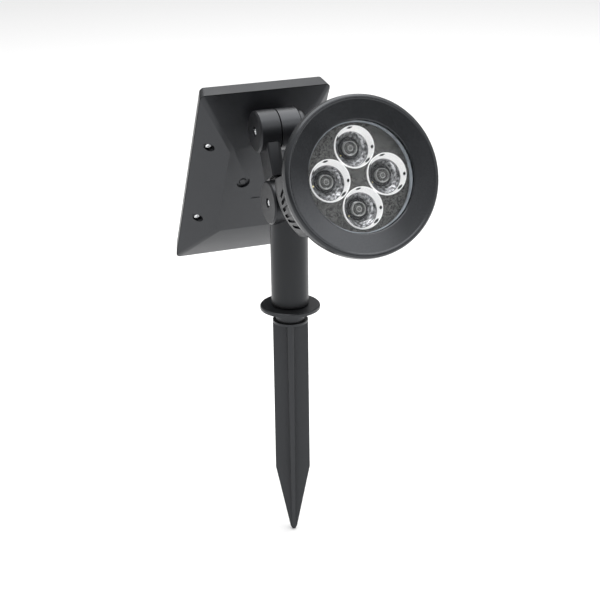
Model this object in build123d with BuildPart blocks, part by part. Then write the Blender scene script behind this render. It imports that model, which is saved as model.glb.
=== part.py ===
"""Solar garden spotlight on a ground spike.

Frame: millimetres, +Z up. The origin is on the post axis in the underside of
the ground flange, which is the soil line. The lamp throws its light toward -Y
and upward, the solar panel sits behind the post on +Y, and both hinge axes run
along X.
"""
import os
from math import cos, sin, radians, sqrt
from build123d import *

os.makedirs("parts", exist_ok=True)

# ---------------------------------------------------------------- dimensions
# ground spike
SPIKE_LEN = 165.0          # soil line to tip
SPIKE_HALF = 11.6          # half width across two opposite ribs
RIB_T = 2.6                # rib thickness at the root
RIB_TOP = -8.0
SHOULDER_Z = -116.5        # start of the taper
NECK_R = 9.6
SPIKE_TURN = -20.4         # rib direction about Z, degrees
FLANGE_R = 19.7
FLANGE_T = 2.5
SPIGOT_R = 8.0
SPIGOT_TOP = 32.0

# post
POST_R = 12.2
POST_WALL = 1.8
POST_Z0 = FLANGE_T + 0.3
POST_Z1 = 58.4             # top of the right half; the left half runs up to the barrel
POST_Z2 = 68.0

# hinges
HINGE_R = 14.0
UPP_R = 13.4
LOW = (0.0, 73.0)          # lower hinge axis, (Y, Z)
UPP = (22.0, 114.0)        # upper hinge axis, (Y, Z)
LEFT_X = -14.0             # left end faces of both barrels
SEAM = 0.4                 # each half stops this far from the seam plane
LOW_RIGHT_X = 14.0
UPP_RIGHT_X = 14.5
BOLT_R = 2.0
BOLT_HEAD_R = 2.6
BOLT_WELL_R = 3.1
BOLT_WELL_DEPTH = 2.4

# lamp head
HEAD_C = (28.4, -55.3, 100.6)     # centre of the front rim plane
HEAD_PITCH = 21.3
HEAD_R = 50.5
SHOULDER_TOP = 7.0         # the vented shoulders lie between these two heights
SHOULDER_BOT = -32.5
LENS_CLEAR_R = 34.5
LED_PITCH_R = 18.8
LED_R = 13.3
LED_SHIFT = 2.8            # depth of the optics behind the lens seat
SLOTS = [(0.5, 28, 11.0), (7.0, 18, 12.0), (13.5, 10, 14.0), (20.0, 4, 15.0), (26.5, -6, 15.0), (33.0, -12, 13.0)]

# solar panel
PANEL_C = (0.5, 75.15, 70.4)      # centre of the plane between cover and frame
PANEL_LEAN = 29.3
PANEL_W = 89.6
PANEL_H = 151.2
COVER_H = 13.5
TOP_W = 47.0
TOP_H = 77.0
FRAME_T = 9.8
FRAME_TAPER = 2.7          # the front outline is this much smaller on each long side
FRAME_TAPER_H = 1.3
SCREW_X = 35.5
SCREW_YS = (35.5, -31.0)
BUTTON_X, BUTTON_Y = -10.2, 6.6
BUTTON_TRAVEL = 1.2

# ------------------------------------------------------------ local planes
cp, sp = cos(radians(HEAD_PITCH)), sin(radians(HEAD_PITCH))
HEAD = Plane(origin=HEAD_C, x_dir=(1, 0, 0), z_dir=(0, cp, -sp))   # z = depth behind the rim
HEAD_RZ = Plane(origin=HEAD_C, x_dir=(1, 0, 0), z_dir=(0, sp, cp))  # (radius, depth)
HEAD_SIDE = Plane(origin=HEAD_C, x_dir=(0, cp, -sp), z_dir=(1, 0, 0))  # (depth, up)
HEAD_AXIS = Axis(HEAD_C, (0, cp, -sp))

cl, sl = cos(radians(PANEL_LEAN)), sin(radians(PANEL_LEAN))
PANEL = Plane(origin=PANEL_C, x_dir=(1, 0, 0), z_dir=(0, -cl, -sl))  # z = out of the back cover
PANEL_YZ = Plane(origin=PANEL_C, x_dir=(0, -sl, cl), z_dir=(1, 0, 0))  # (up the panel, out of the back)

LOW_YZ = Plane(origin=(0, LOW[0], LOW[1]), x_dir=(0, 1, 0), z_dir=(1, 0, 0))
UPP_YZ = Plane(origin=(0, UPP[0], UPP[1]), x_dir=(0, 1, 0), z_dir=(1, 0, 0))
LOW_AXIS = Axis((0, LOW[0], LOW[1]), (1, 0, 0))
UPP_AXIS = Axis((0, UPP[0], UPP[1]), (1, 0, 0))

link_len = sqrt((UPP[0] - LOW[0]) ** 2 + (UPP[1] - LOW[1]) ** 2)
LINK_DIR = ((UPP[0] - LOW[0]) / link_len, (UPP[1] - LOW[1]) / link_len)
# local plane of the link: x = along the link (s), y = across it (toward the lamp)
LINK = Plane(origin=(0, LOW[0], LOW[1]), x_dir=(0, LINK_DIR[0], LINK_DIR[1]), z_dir=(1, 0, 0))
# section plane of the link: z along the link, x = world X
LINK_SEC = Plane(origin=(0, LOW[0], LOW[1]), x_dir=(1, 0, 0), z_dir=(0, LINK_DIR[0], LINK_DIR[1]))


def x_plane(base, x):
    """The given hinge plane moved along X."""
    return base.offset(x)


# ============================================================ ground spike
with BuildPart() as ground_spike:
    with BuildSketch(Plane.XY) as fl:
        Circle(FLANGE_R)
    extrude(amount=FLANGE_T)
    chamfer(ground_spike.edges().filter_by(GeomType.CIRCLE).group_by(Axis.Z)[-1], 0.7)
    with BuildSketch(Plane.XY) as nk:
        Circle(NECK_R)
    extrude(amount=RIB_TOP - 2.0)
    # spigot that carries the post
    with BuildSketch(Plane.XY) as sg:
        Circle(SPIGOT_R)
    extrude(amount=SPIGOT_TOP)
    with Locations((0, 0, SPIGOT_TOP - 12)):
        Cylinder(4.2, 24.2, align=(Align.CENTER, Align.CENTER, Align.CENTER), mode=Mode.SUBTRACT)
    # round pad on top of the ribs
    with BuildSketch(Plane.XY.offset(RIB_TOP)) as pad:
        Circle(SPIKE_HALF)
    extrude(amount=-1.6)
    # crossed ribs with the long taper
    for a in (SPIKE_TURN, SPIKE_TURN + 90):
        rib = Plane(origin=(0, 0, 0), x_dir=(cos(radians(a)), sin(radians(a)), 0),
                    z_dir=(sin(radians(a)), -cos(radians(a)), 0))
        with BuildSketch(rib) as rs:
            with BuildLine() as rl:
                Polyline([(-SPIKE_HALF, RIB_TOP), (SPIKE_HALF, RIB_TOP),
                          (SPIKE_HALF, SHOULDER_Z), (2.2, -SPIKE_LEN + 2.2),
                          (1.0, -SPIKE_LEN), (-1.0, -SPIKE_LEN),
                          (-2.2, -SPIKE_LEN + 2.2), (-SPIKE_HALF, SHOULDER_Z)], close=True)
            make_face()
        extrude(amount=RIB_T / 2, both=True)
    # thicker core where the ribs cross
    with BuildSketch(Plane.XY.offset(RIB_TOP)) as core:
        Circle(3.0)
    extrude(amount=-(SPIKE_LEN - 12 + RIB_TOP), taper=0.45)
ground_spike.part.label = "ground_spike"

with BuildPart() as spigot_ring:
    with BuildSketch(Plane.XY.offset(POST_Z0 + 3.0)) as r1:
        Circle(POST_R - POST_WALL - 0.05)
        Circle(SPIGOT_R + 0.05, mode=Mode.SUBTRACT)
    extrude(amount=10.0)
spigot_ring.part.label = "spigot_ring"

with BuildPart() as upper_bush:
    with BuildSketch(Plane.XY.offset(22.0)) as r2:
        Circle(POST_R - POST_WALL - 0.05)
        Circle(SPIGOT_R + 0.05, mode=Mode.SUBTRACT)
    extrude(amount=8.0)
upper_bush.part.label = "upper_bush"

# ==================================================================== post
with BuildPart() as post_tube:
    with BuildSketch(Plane.XY.offset(POST_Z0)) as p1:
        Circle(POST_R)
        Circle(POST_R - POST_WALL, mode=Mode.SUBTRACT)
    extrude(amount=POST_Z2 - POST_Z0)
    # right half stops low so the moving half barrel and its neck can swing
    with BuildSketch(Plane.XY.offset(POST_Z1)) as p2:
        with Locations((POST_R - 0.6, 0)):
            Rectangle(2 * POST_R, 4 * POST_R)
    extrude(amount=20.0, mode=Mode.SUBTRACT)
    # saddle under the fixed half barrel
    with BuildSketch(LOW_YZ.offset(-20.0)) as p3:
        Circle(HINGE_R + 0.15)
    extrude(amount=19.6, mode=Mode.SUBTRACT)
    chamfer(post_tube.edges().filter_by(GeomType.CIRCLE).group_by(Axis.Z)[0].sort_by(SortBy.RADIUS)[-1], 0.5)
post_tube.part.label = "post_tube"

with BuildPart() as lower_knuckle:
    # plug in the tube
    with BuildSketch(Plane.XY.offset(36.0)) as k1:
        Circle(POST_R - POST_WALL - 0.05)
    extrude(amount=POST_Z1 - 36.0)
    # web up to the half barrel
    with BuildSketch(Plane.XY.offset(POST_Z1 - 0.1)) as k2:
        Circle(POST_R - POST_WALL - 0.05)
        with Locations((POST_R - SEAM, 0)):
            Rectangle(2 * POST_R, 4 * POST_R, mode=Mode.SUBTRACT)
    extrude(amount=9.0)
    # half barrel
    with BuildSketch(x_plane(LOW_YZ, LEFT_X)) as k3:
        Circle(HINGE_R)
    extrude(amount=-LEFT_X - SEAM)
    chamfer(lower_knuckle.edges().filter_by(GeomType.CIRCLE).filter_by(lambda e: abs(e.radius - HINGE_R) < 0.01).group_by(Axis.X)[0], 1.0)
    # stub that carries the link
    with BuildSketch(LINK_SEC.offset(9.0)) as k4:
        with Locations((-5.0, 0)):
            RectangleRounded(6.0, 13.0, 1.5)
    extrude(amount=18.0)
    # bolt bore and head well
    with BuildSketch(x_plane(LOW_YZ, LEFT_X)) as k5:
        Circle(BOLT_WELL_R)
    extrude(amount=BOLT_WELL_DEPTH, mode=Mode.SUBTRACT)
    with BuildSketch(x_plane(LOW_YZ, LEFT_X)) as k6:
        Circle(BOLT_R + 0.06)
    extrude(amount=20.0, mode=Mode.SUBTRACT)
    # bore for the stub screw
    with BuildSketch(Plane(origin=(-5.0, LOW[0] + LINK_DIR[0] * 21.0, LOW[1] + LINK_DIR[1] * 21.0),
                           x_dir=(1, 0, 0), z_dir=(0, LINK_DIR[1], -LINK_DIR[0]))) as k7:
        Circle(1.35)
    extrude(amount=9.0, mode=Mode.SUBTRACT)
lower_knuckle.part.label = "lower_knuckle"

# ==================================================================== link
with BuildPart() as link_arm:
    with BuildSketch(x_plane(UPP_YZ, LEFT_X)) as a1:
        Circle(UPP_R)
    extrude(amount=-LEFT_X - SEAM)
    chamfer(link_arm.edges().filter_by(GeomType.CIRCLE).group_by(Axis.X)[0], 1.0)
    with BuildSketch(LINK_SEC.offset(15.3)) as a2:
        with Locations((-5.4, 0)):
            Rectangle(9.8, 18.2)
        chamfer(a2.vertices().group_by(Axis.X)[0], 0.9)
        fillet(a2.vertices().group_by(Axis.X)[-1], 3.6)
    extrude(amount=link_len - 15.3)
    with BuildSketch(LINK_SEC.offset(15.3)) as a3:
        with Locations((-5.0, 0)):
            RectangleRounded(6.2, 13.2, 1.6)
    extrude(amount=12.0, mode=Mode.SUBTRACT)
    with BuildSketch(x_plane(UPP_YZ, LEFT_X)) as a4:
        Circle(BOLT_WELL_R)
    extrude(amount=BOLT_WELL_DEPTH, mode=Mode.SUBTRACT)
    with BuildSketch(x_plane(UPP_YZ, LEFT_X)) as a5:
        Circle(BOLT_R + 0.06)
    extrude(amount=20.0, mode=Mode.SUBTRACT)
    # screw hole in the rear face of the link
    screw_pl = Plane(origin=(-5.0, LOW[0] + LINK_DIR[0] * 21.0, LOW[1] + LINK_DIR[1] * 21.0),
                     x_dir=(1, 0, 0), z_dir=(0, LINK_DIR[1], -LINK_DIR[0]))
    with BuildSketch(screw_pl) as a6:
        Circle(1.5)
    extrude(amount=12.0, mode=Mode.SUBTRACT)
    with BuildSketch(screw_pl.offset(7.9)) as a7:
        Circle(2.6)
    extrude(amount=3.0, mode=Mode.SUBTRACT)
link_arm.part.label = "link_arm"

with BuildPart() as link_screw:
    with BuildSketch(screw_pl.offset(7.95)) as s1:
        Circle(2.3)
    extrude(amount=1.1)
    with BuildSketch(screw_pl.offset(1.0)) as s2:
        Circle(1.25)
    extrude(amount=7.0)
    with BuildSketch(screw_pl.offset(8.5)) as s3:
        Rectangle(2.8, 0.6)
        Rectangle(0.6, 2.8)
    extrude(amount=1.0, mode=Mode.SUBTRACT)
link_screw.part.label = "link_screw"


# ============================================================= hinge hardware
def hinge_bolt(base, nut_x):
    """Cross-head bolt lying along X with its head in the left well."""
    with BuildPart() as b:
        with BuildSketch(base.offset(LEFT_X + 0.4)):
            Circle(BOLT_HEAD_R)
        extrude(amount=1.95)
        chamfer(b.edges().group_by(Axis.X)[0], 0.6)
        with BuildSketch(base.offset(LEFT_X + 2.0)):
            Circle(BOLT_R)
        extrude(amount=nut_x + 3.4 - LEFT_X - 2.0)
        with BuildSketch(base.offset(LEFT_X - 0.2)):
            Rectangle(3.2, 0.75)
            Rectangle(0.75, 3.2)
        extrude(amount=1.5, mode=Mode.SUBTRACT)
    return b


def hinge_nut(base, x0):
    with BuildPart() as b:
        with BuildSketch(base.offset(x0)):
            RegularPolygon(3.5, 6, major_radius=False)
            Circle(BOLT_R + 0.06, mode=Mode.SUBTRACT)
        extrude(amount=3.0)
    return b


def hinge_washer(base):
    with BuildPart() as b:
        with BuildSketch(base.offset(-SEAM + 0.03)):
            Circle(10.5)
            Circle(BOLT_R + 0.3, mode=Mode.SUBTRACT)
        extrude(amount=0.45)
    return b


lower_hinge_bolt = hinge_bolt(LOW_YZ, 9.0)
lower_hinge_bolt.part.label = "lower_hinge_bolt"
lower_hinge_nut = hinge_nut(LOW_YZ, 9.05)
lower_hinge_nut.part.label = "lower_hinge_nut"
lower_hinge_washer = hinge_washer(LOW_YZ)
lower_hinge_washer.part.label = "lower_hinge_washer"
upper_hinge_bolt = hinge_bolt(UPP_YZ, 9.0)
upper_hinge_bolt.part.label = "upper_hinge_bolt"
upper_hinge_nut = hinge_nut(UPP_YZ, 9.05)
upper_hinge_nut.part.label = "upper_hinge_nut"
upper_hinge_washer = hinge_washer(UPP_YZ)
upper_hinge_washer.part.label = "upper_hinge_washer"

with BuildPart() as hinge_cap:
    with BuildSketch(UPP_YZ.offset(UPP_RIGHT_X + 0.05)) as h1:
        Circle(11.0)
    extrude(amount=4.0)
    chamfer(hinge_cap.edges().group_by(Axis.X)[-1], 1.2)
    with BuildSketch(UPP_YZ.offset(UPP_RIGHT_X - 1.2)) as h2:
        Circle(4.7)
    extrude(amount=1.4)
hinge_cap.part.label = "hinge_cap"

# =============================================================== lamp head
with BuildPart() as head_body:
    # outer bowl
    with BuildSketch(HEAD_RZ) as o1:
        with BuildLine() as o2:
            l1 = Line((0, 10.35), (47.7, 10.35))
            l2 = Spline([(47.7, 10.35), (47.2, 14.0), (45.6, 20.0), (43.5, 25.5), (40.6, 31.0),
                         (36.2, 35.8), (30.0, 39.2), (20.0, 41.6), (0, 42.6)],
                        tangents=[(0, 1), (-1, 0)])
            l3 = Line((0, 42.6), (0, 10.35))
        make_face()
    revolve(axis=HEAD_AXIS)
    # vented shoulders: a wider, deeper bowl kept only between two planes
    with BuildSketch(HEAD_RZ) as o4:
        with BuildLine() as o5:
            l4 = Line((0, 10.35), (47.8, 10.35))
            l5 = Spline([(47.8, 10.35), (48.0, 15.0), (48.0, 20.0), (47.5, 27.0), (45.8, 33.0),
                         (43.0, 38.0), (38.0, 42.2), (30.0, 45.2), (20.0, 46.6), (0, 47.2)],
                        tangents=[(0, 1), (-1, 0)])
            l6 = Line((0, 47.2), (0, 10.35))
        make_face()
    wide = revolve(axis=HEAD_AXIS, mode=Mode.PRIVATE)
    with BuildSketch(HEAD_SIDE) as o6:
        with BuildLine() as o7:
            Polyline([(9.0, SHOULDER_TOP), (60.0, SHOULDER_TOP - 2.0), (60.0, SHOULDER_BOT + 6.0), (9.0, SHOULDER_BOT)], close=True)
        make_face()
    slab = extrude(amount=60.0, both=True, mode=Mode.PRIVATE)
    add(wide & slab)
    # neck to the hinge
    with BuildSketch(x_plane(LOW_YZ, SEAM)) as n1:
        Circle(HINGE_R)
    extrude(amount=LOW_RIGHT_X - SEAM)
    chamfer(head_body.edges().filter_by(GeomType.CIRCLE).filter_by(lambda e: abs(e.radius - HINGE_R) < 0.01).group_by(Axis.X)[-1], 1.0)
    with BuildSketch(x_plane(Plane(origin=HEAD_C, x_dir=(0, cp, -sp), z_dir=(1, 0, 0)), SEAM - HEAD_C[0])) as n2:
        # coordinates: (depth, up)
        with BuildLine() as n3:
            Polyline([(38.0, 12.0), (50.0, 8.0), (61.5, 8.3), (61.5, -19.5), (52.0, -15.9), (44.0, -16.0), (38.0, -20.0)], close=True)
        make_face()
    extrude(amount=LOW_RIGHT_X - SEAM)
    # inner bowl
    with BuildSketch(HEAD_RZ) as i1:
        with BuildLine() as i2:
            j1 = Line((0, 10.0), (45.4, 10.0))
            j2 = Line((45.4, 10.0), (45.3, 14.2))
            j3 = Spline([(45.3, 14.2), (43.4, 19.6), (41.1, 24.8), (38.2, 29.8),
                         (34.0, 33.8), (28.6, 36.8), (19.4, 39.0), (0, 40.0)],
                        tangents=[(-0.2, 1), (-1, 0)])
            j4 = Line((0, 40.0), (0, 10.0))
        make_face()
    revolve(axis=HEAD_AXIS, mode=Mode.SUBTRACT)
    # hollow of the shoulders
    with BuildSketch(HEAD_RZ) as i4:
        with BuildLine() as i5:
            j5 = Line((0, 10.0), (45.4, 10.0))
            j6 = Spline([(45.4, 10.0), (45.5, 15.0), (45.5, 20.0), (45.1, 26.6), (43.4, 32.0),
                         (40.7, 36.4), (36.2, 40.0), (29.0, 42.8), (19.6, 44.2), (0, 44.8)],
                        tangents=[(0, 1), (-1, 0)])
            j7 = Line((0, 44.8), (0, 10.0))
        make_face()
    wide_in = revolve(axis=HEAD_AXIS, mode=Mode.PRIVATE)
    with BuildSketch(HEAD_SIDE) as i6:
        with BuildLine() as i7:
            Polyline([(9.0, SHOULDER_TOP - 2.4), (60.0, SHOULDER_TOP - 4.4), (60.0, SHOULDER_BOT + 8.6), (9.0, SHOULDER_BOT + 2.5)], close=True)
        make_face()
    slab_in = extrude(amount=60.0, both=True, mode=Mode.PRIVATE)
    add(wide_in & slab_in, mode=Mode.SUBTRACT)
    # bosses for the heat spreader: two in the shoulders, one at the top
    for ang, deep in ((30, 13.2), (150, 13.2), (270, 6.0)):
        with BuildSketch(HEAD.offset(26.1 + LED_SHIFT)) as b1:
            with Locations((33.0 * cos(radians(ang)), 33.0 * sin(radians(ang)))):
                Circle(3.6)
        extrude(amount=deep)
    with BuildSketch(HEAD.offset(26.0 + LED_SHIFT)) as b2:
        with PolarLocations(33.0, 3, start_angle=30):
            Circle(1.35)
    extrude(amount=5.2, mode=Mode.SUBTRACT)
    # bolt bore, nut pocket
    with BuildSketch(x_plane(LOW_YZ, -0.5)) as c1:
        Circle(BOLT_R + 0.06)
    extrude(amount=16.0, mode=Mode.SUBTRACT)
    with BuildSketch(x_plane(LOW_YZ, 9.0)) as c2:
        RegularPolygon(3.55, 6, major_radius=False)
    extrude(amount=6.0, mode=Mode.SUBTRACT)
    # cooling slots, cut part way into the wall on both flanks and fanned toward the hinge
    for side in (1, -1):
        for a, tilt, ln in SLOTS:
            ca, sa = cos(radians(a)), sin(radians(a))
            rad_dir = Vector(side * ca, -sp * sa, -cp * sa)
            arc = Vector(-side * sa, -sp * ca, -cp * ca)      # along the flank, downward
            dep = Vector(0, cp, -sp)
            ct, st = cos(radians(tilt)), sin(radians(tilt))
            along = dep * ct + arc * st
            org = Vector(*HEAD_C) + rad_dir * 48.0 + dep * 10.6 + along * (ln / 2)
            pl = Plane(origin=org, x_dir=along, z_dir=rad_dir)
            with BuildSketch(pl.offset(-1.3)):
                SlotOverall(ln, 2.3)
            extrude(amount=4.0, mode=Mode.SUBTRACT)
head_body.part.label = "head_body"

with BuildPart() as bezel_ring:
    with BuildSketch(HEAD_RZ) as z1:
        with BuildLine() as z2:
            m1 = Polyline([(50.5, 4.6), (50.1, 7.6), (48.6, 10.05), (45.1, 10.05), (44.9, 14.0),
                           (42.9, 14.0), (42.9, 6.2), (38.3, 6.2), (38.3, 4.0), (34.5, 4.0),
                           (34.5, 3.3), (47.0, 0.35)])
            m2 = ThreePointArc((47.0, 0.35), (47.9, 0.0), (48.9, 0.3))
            m3 = Spline([(48.9, 0.3), (50.1, 1.9), (50.5, 4.6)])
        make_face()
    revolve(axis=HEAD_AXIS)
bezel_ring.part.label = "bezel_ring"

with BuildPart() as lens_cover:
    with BuildSketch(HEAD.offset(4.15)) as e1:
        Circle(38.0)
    extrude(amount=2.0)
lens_cover.part.label = "lens_cover"

with BuildPart() as lens_gasket:
    with BuildSketch(HEAD.offset(6.3)) as g1:
        Circle(42.4)
        Circle(36.2, mode=Mode.SUBTRACT)
    extrude(amount=1.75)
lens_gasket.part.label = "lens_gasket"

LED_SPOTS = [(LED_PITCH_R, 0), (0, LED_PITCH_R), (-LED_PITCH_R, 0), (0, -LED_PITCH_R)]

with BuildPart() as led_mask_plate:
    with BuildSketch(HEAD.offset(8.2 + LED_SHIFT)) as q1:
        Circle(42.3)
        with Locations(*LED_SPOTS):
            Circle(12.6, mode=Mode.SUBTRACT)
    extrude(amount=1.6)
led_mask_plate.part.label = "led_mask_plate"

with BuildPart() as led_trim_rings:
    with BuildSketch(HEAD.offset(7.0 + LED_SHIFT)) as t1:
        with Locations(*LED_SPOTS):
            Circle(13.1)
            Circle(11.7, mode=Mode.SUBTRACT)
    extrude(amount=1.1)
led_trim_rings.part.label = "led_trim_rings"

with BuildPart() as led_lenses:
    for (lx, ly) in LED_SPOTS:
        lens_rz = Plane(origin=HEAD.from_local_coords((lx, ly, LED_SHIFT)), x_dir=HEAD_RZ.x_dir, z_dir=HEAD_RZ.z_dir)
        with BuildSketch(lens_rz):
            with BuildLine():
                Polyline([(5.3, 7.4), (11.5, 7.4), (11.5, 8.4), (12.2, 8.4), (12.2, 10.2), (11.5, 10.4),
                          (8.6, 15.6), (5.2, 20.8), (3.2, 20.8), (3.2, 17.2), (0, 17.2), (0, 15.6),
                          (4.8, 15.6)], close=True)
            make_face()
        revolve(axis=Axis(lens_rz.origin, (0, cp, -sp)))
led_lenses.part.label = "led_lenses"

with BuildPart() as led_chips:
    with BuildSketch(HEAD.offset(19.9 + LED_SHIFT)) as d1:
        with Locations(*LED_SPOTS):
            Rectangle(3.5, 3.5)
    extrude(amount=1.05)
led_chips.part.label = "led_chips"

with BuildPart() as led_board:
    with BuildSketch(HEAD.offset(21.0 + LED_SHIFT)) as w1:
        Circle(37.0)
        with PolarLocations(33.0, 3, start_angle=30):
            Circle(1.7, mode=Mode.SUBTRACT)
    extrude(amount=1.6)
led_board.part.label = "led_board"

with BuildPart() as heat_spreader:
    with BuildSketch(HEAD.offset(22.65 + LED_SHIFT)) as w2:
        Circle(37.6)
        with PolarLocations(33.0, 3, start_angle=30):
            Circle(1.7, mode=Mode.SUBTRACT)
    extrude(amount=3.4)
heat_spreader.part.label = "heat_spreader"

with BuildPart() as board_screws:
    with BuildSketch(HEAD.offset(19.6 + LED_SHIFT)) as v1:
        with PolarLocations(33.0, 3, start_angle=30):
            Circle(2.7)
    extrude(amount=1.37)
    with BuildSketch(HEAD.offset(20.5 + LED_SHIFT)) as v2:
        with PolarLocations(33.0, 3, start_angle=30):
            Circle(1.3)
    extrude(amount=9.0)
board_screws.part.label = "board_screws"

# ============================================================= solar panel
with BuildPart() as panel_back_cover:
    with BuildSketch(PANEL.offset(0.15)) as y1:
        RectangleRounded(PANEL_W - 0.4, PANEL_H - 0.4, 3.0)
    with BuildSketch(PANEL.offset(COVER_H)) as y2:
        RectangleRounded(TOP_W, TOP_H, 3.0)
    loft()
    # hinge ear: half barrel and its neck on the upper slope
    with BuildSketch(x_plane(UPP_YZ, SEAM)) as y3:
        Circle(UPP_R)
    extrude(amount=UPP_RIGHT_X - SEAM)
    chamfer(panel_back_cover.edges().filter_by(GeomType.CIRCLE).filter_by(lambda e: abs(e.radius - UPP_R) < 0.01).group_by(Axis.X)[-1], 1.0)
    with BuildSketch(PANEL_YZ.offset(SEAM - PANEL_C[0])) as y4:
        # coordinates: (up the panel, height above the rim plane)
        with BuildLine() as y5:
            Polyline([(41.0, 9.6), (51.0, 19.5), (57.0, 26.0), (66.0, 22.0), (62.0, 12.0), (60.0, 2.6), (50.0, 5.0)], close=True)
        make_face()
    extrude(amount=UPP_RIGHT_X - SEAM)
    # hollow inside
    with BuildSketch(PANEL.offset(0.1)) as y6:
        RectangleRounded(78.0, 139.6, 3.0)
    with BuildSketch(PANEL.offset(11.3)) as y7:
        RectangleRounded(44.0, 73.0, 2.0)
    loft(mode=Mode.SUBTRACT)
    # screw bosses, wells and holes
    with BuildSketch(PANEL.offset(0.15)) as y8:
        with Locations(*[(s * SCREW_X, y) for s in (-1, 1) for y in SCREW_YS]):
            Circle(3.7)
    extrude(amount=4.2)
    with BuildSketch(PANEL.offset(3.1)) as y9:
        with Locations(*[(s * SCREW_X, y) for s in (-1, 1) for y in SCREW_YS]):
            Circle(3.1)
    extrude(amount=8.0, mode=Mode.SUBTRACT)
    with BuildSketch(PANEL) as y10:
        with Locations(*[(s * SCREW_X, y) for s in (-1, 1) for y in SCREW_YS]):
            Circle(1.6)
    extrude(amount=5.0, mode=Mode.SUBTRACT)
    # button boss, recess and bore
    with BuildSketch(PANEL.offset(10.6)) as y11:
        with Locations((BUTTON_X, BUTTON_Y)):
            Circle(6.4)
    extrude(amount=1.5)
    with BuildSketch(PANEL.offset(12.1)) as y12:
        with Locations((BUTTON_X, BUTTON_Y)):
            Circle(4.6)
    extrude(amount=3.0, mode=Mode.SUBTRACT)
    with BuildSketch(PANEL.offset(9.0)) as y13:
        with Locations((BUTTON_X, BUTTON_Y)):
            Circle(2.7)
    extrude(amount=6.0, mode=Mode.SUBTRACT)
    # board posts
    with BuildSketch(PANEL.offset(4.7)) as y14:
        with Locations((-26.0, 4.0)):
            Circle(2.2)
    extrude(amount=4.4)
    with BuildSketch(PANEL.offset(4.7)) as y14b:
        with Locations((10.0, 4.0)):
            Circle(2.2)
    extrude(amount=7.0)
    with BuildSketch(PANEL.offset(4.6)) as y15:
        with Locations((-26.0, 4.0), (10.0, 4.0)):
            Circle(0.95)
    extrude(amount=5.0, mode=Mode.SUBTRACT)
    # short raised mark beside the button
    with BuildSketch(PANEL.offset(COVER_H - 0.3)) as y16:
        with Locations((0.9, -10.0)):
            SlotOverall(6.4, 1.0)
    extrude(amount=0.6)
    # bolt bore, nut pocket and cap seat in the ear
    with BuildSketch(x_plane(UPP_YZ, -0.5)) as y17:
        Circle(BOLT_R + 0.06)
    extrude(amount=16.0, mode=Mode.SUBTRACT)
    with BuildSketch(x_plane(UPP_YZ, 9.0)) as y18:
        RegularPolygon(3.55, 6, major_radius=False)
    extrude(amount=6.0, mode=Mode.SUBTRACT)
    with BuildSketch(x_plane(UPP_YZ, UPP_RIGHT_X - 1.5)) as y19:
        Circle(4.8)
    extrude(amount=2.0, mode=Mode.SUBTRACT)
panel_back_cover.part.label = "panel_back_cover"

with BuildPart() as panel_front_frame:
    with BuildSketch(PANEL.offset(-0.15)) as f1:
        RectangleRounded(PANEL_W, PANEL_H, 3.4)
    with BuildSketch(PANEL.offset(-(FRAME_T - 0.7))) as f1b:
        RectangleRounded(PANEL_W - 2 * FRAME_TAPER + 0.4, PANEL_H - 2 * FRAME_TAPER_H + 0.4, 3.0)
    loft()
    with BuildSketch(PANEL.offset(-(FRAME_T - 0.7))) as f1c:
        RectangleRounded(PANEL_W - 2 * FRAME_TAPER + 0.4, PANEL_H - 2 * FRAME_TAPER_H + 0.4, 3.0)
    extrude(amount=-0.7, taper=40)
    with BuildSketch(PANEL) as f2:
        RectangleRounded(73.6, 134.6, 2.0)
    extrude(amount=-12.0, mode=Mode.SUBTRACT)
    # seat for the laminate
    with BuildSketch(PANEL.offset(-5.8)) as f3:
        RectangleRounded(79.0, 140.4, 2.0)
    extrude(amount=-6.0, mode=Mode.SUBTRACT)
    # gasket groove
    with BuildSketch(PANEL) as f4:
        RectangleRounded(83.6, 145.2, 3.0)
        RectangleRounded(80.2, 141.8, 2.0, mode=Mode.SUBTRACT)
    extrude(amount=-1.6, mode=Mode.SUBTRACT)
    # screw bosses
    with BuildSketch(PANEL.offset(-0.15)) as f5:
        with Locations(*[(s * SCREW_X, y) for s in (-1, 1) for y in SCREW_YS]):
            Circle(3.7)
    extrude(amount=-3.3)
    with BuildSketch(PANEL) as f6:
        with Locations(*[(s * SCREW_X, y) for s in (-1, 1) for y in SCREW_YS]):
            Circle(1.5)
    extrude(amount=-3.2, mode=Mode.SUBTRACT)
panel_front_frame.part.label = "panel_front_frame"

with BuildPart() as panel_gasket:
    with BuildSketch(PANEL.offset(0.1)) as u1:
        RectangleRounded(83.3, 144.9, 2.9)
        RectangleRounded(80.5, 142.1, 2.0, mode=Mode.SUBTRACT)
    extrude(amount=-1.6)
panel_gasket.part.label = "panel_gasket"

with BuildPart() as solar_laminate:
    with BuildSketch(PANEL.offset(-6.4)) as u2:
        RectangleRounded(78.4, 139.8, 1.8)
    extrude(amount=-2.6)
solar_laminate.part.label = "solar_laminate"

with BuildPart() as solar_cell_sheet:
    with BuildSketch(PANEL.offset(-5.85)) as u3:
        Rectangle(76.8, 138.0)
    extrude(amount=-0.5)
solar_cell_sheet.part.label = "solar_cell_sheet"

with BuildPart() as panel_screws:
    spots = [(s * SCREW_X, y) for s in (-1, 1) for y in SCREW_YS]
    with BuildSketch(PANEL.offset(3.15)) as u4:
        with Locations(*spots):
            Circle(2.15)
    extrude(amount=1.7)
    with BuildSketch(PANEL.offset(-3.0)) as u5:
        with Locations(*spots):
            Circle(1.4)
    extrude(amount=6.5)
    with BuildSketch(PANEL.offset(4.1)) as u6:
        with Locations(*spots):
            Rectangle(2.8, 0.65)
        with Locations(*spots):
            Rectangle(0.65, 2.8)
    extrude(amount=2.0, mode=Mode.SUBTRACT)
panel_screws.part.label = "panel_screws"

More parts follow.
